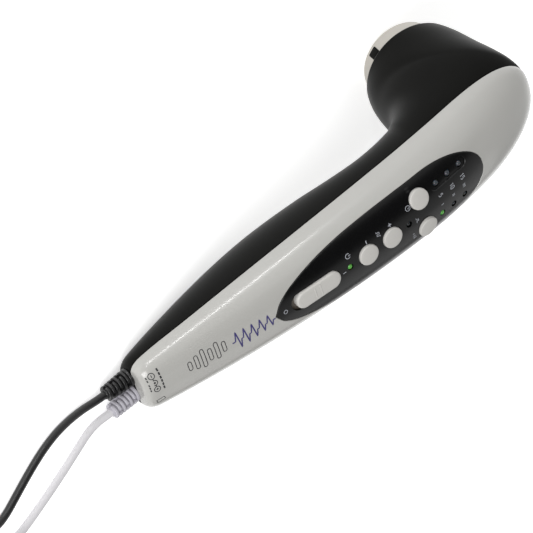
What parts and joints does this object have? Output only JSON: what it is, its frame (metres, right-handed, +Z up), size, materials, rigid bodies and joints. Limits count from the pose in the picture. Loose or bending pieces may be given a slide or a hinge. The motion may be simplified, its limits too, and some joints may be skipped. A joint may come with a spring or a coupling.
{
  "type": "tens unit",
  "caption": "Hand-held electrotherapy unit shaped like a shower head, with a metal applicator, a control panel and two captive leads.",
  "frame": {"origin": "on the surface that the hand piece lies on, under the centre of its bounding box, leads left out", "axes": "+X from the tail to the head along the handle, +Y to the left seen from the tail, +Z up"},
  "size_m": [0.4079, 0.0706, 0.0784],
  "materials": {
    "white_shell": "high gloss, slightly warm white",
    "black_shell": "satin moulded black",
    "panel": "semi-gloss near black",
    "button_white": "semi-gloss off-white",
    "light_green": "lit green lens",
    "light_dark": "unlit smoked lens",
    "light_grey": "unlit blue-grey lens",
    "cap_metal": "fine satin turned metal",
    "steel": "plain plated steel",
    "board_green": "green solder mask",
    "switch_steel": "stamped steel can",
    "switch_black": "moulded black",
    "chip_black": "moulded black",
    "ferrite": "sintered dark grey",
    "copper": "enamelled copper winding",
    "capacitor": "printed sleeve on aluminium",
    "seal_rubber": "matt rubber",
    "ceramic": "fired ceramic",
    "holder_white": "moulded natural",
    "wire_red": "plain insulation",
    "wire_blue": "plain insulation",
    "black_cord": "glossy flexible black",
    "white_cord": "satin flexible white",
    "grey_relief": "satin flexible pale grey",
    "tie_black": "woven hook and loop tape"
  },
  "bodies": {
    "hand_piece": {"top_cover": "white_shell", "lower_casing": "black_shell", "control_panel": "panel", "power_light": "light_green", "output_light": "light_dark", "time_lights": "light_grey", "level_lights": "light_dark", "level_light_on": "light_green", "main_board": "board_green", "slide_switch": "switch_steel", "button_switches": "switch_black", "control_chip": "chip_black", "transformer": "ferrite", "output_coil": "copper", "capacitors": "capacitor", "board_screws": "steel", "casing_screws": "steel", "applicator_cap": "cap_metal", "cap_insert": "panel", "insulating_ring": "switch_black", "seal_ring": "seal_rubber", "piezo_disc": "ceramic", "transducer_holder": "holder_white", "contact_spring": "steel", "transducer_wires": "wire_red", "supply_wires": "wire_blue", "power_strain_relief": "black_cord", "electrode_strain_relief": "grey_relief", "power_lead": "black_cord", "power_lead_coil": "black_cord", "power_lead_end": "black_cord", "power_lead_tie": "tie_black", "power_plug": "black_cord", "power_plug_barrel": "steel", "electrode_lead": "white_cord", "electrode_lead_coil": "white_cord", "electrode_lead_end": "white_cord", "electrode_lead_tie": "tie_black", "electrode_plug": "white_cord", "electrode_pin": "steel"},
    "slider": {"power_slider": "button_white", "slider_lever": "switch_black"},
    "minus": {"minus_button": "button_white"},
    "plus": {"plus_button": "button_white"},
    "time": {"time_button": "button_white"},
    "mode": {"mode_button": "button_white"}
  },
  "joints": [
    {"name": "power_slide", "type": "slide", "parent": "hand_piece", "child": "slider", "axis": [0.9348, 0, 0.355], "range_m": [-0.002, 0]},
    {"name": "minus_press", "type": "slide", "parent": "hand_piece", "child": "minus", "axis": [0.3224, 0, -0.9466], "range_m": [0, 0.0008], "stiffness_N_per_m": 1000},
    {"name": "plus_press", "type": "slide", "parent": "hand_piece", "child": "plus", "axis": [0.3073, 0, -0.9516], "range_m": [0, 0.0008], "stiffness_N_per_m": 1000},
    {"name": "time_press", "type": "slide", "parent": "hand_piece", "child": "time", "axis": [0.2601, -0.2495, -0.9328], "range_m": [0, 0.0008], "stiffness_N_per_m": 1000},
    {"name": "mode_press", "type": "slide", "parent": "hand_piece", "child": "mode", "axis": [0.2601, 0.2495, -0.9328], "range_m": [0, 0.0008], "stiffness_N_per_m": 1000}
  ]
}
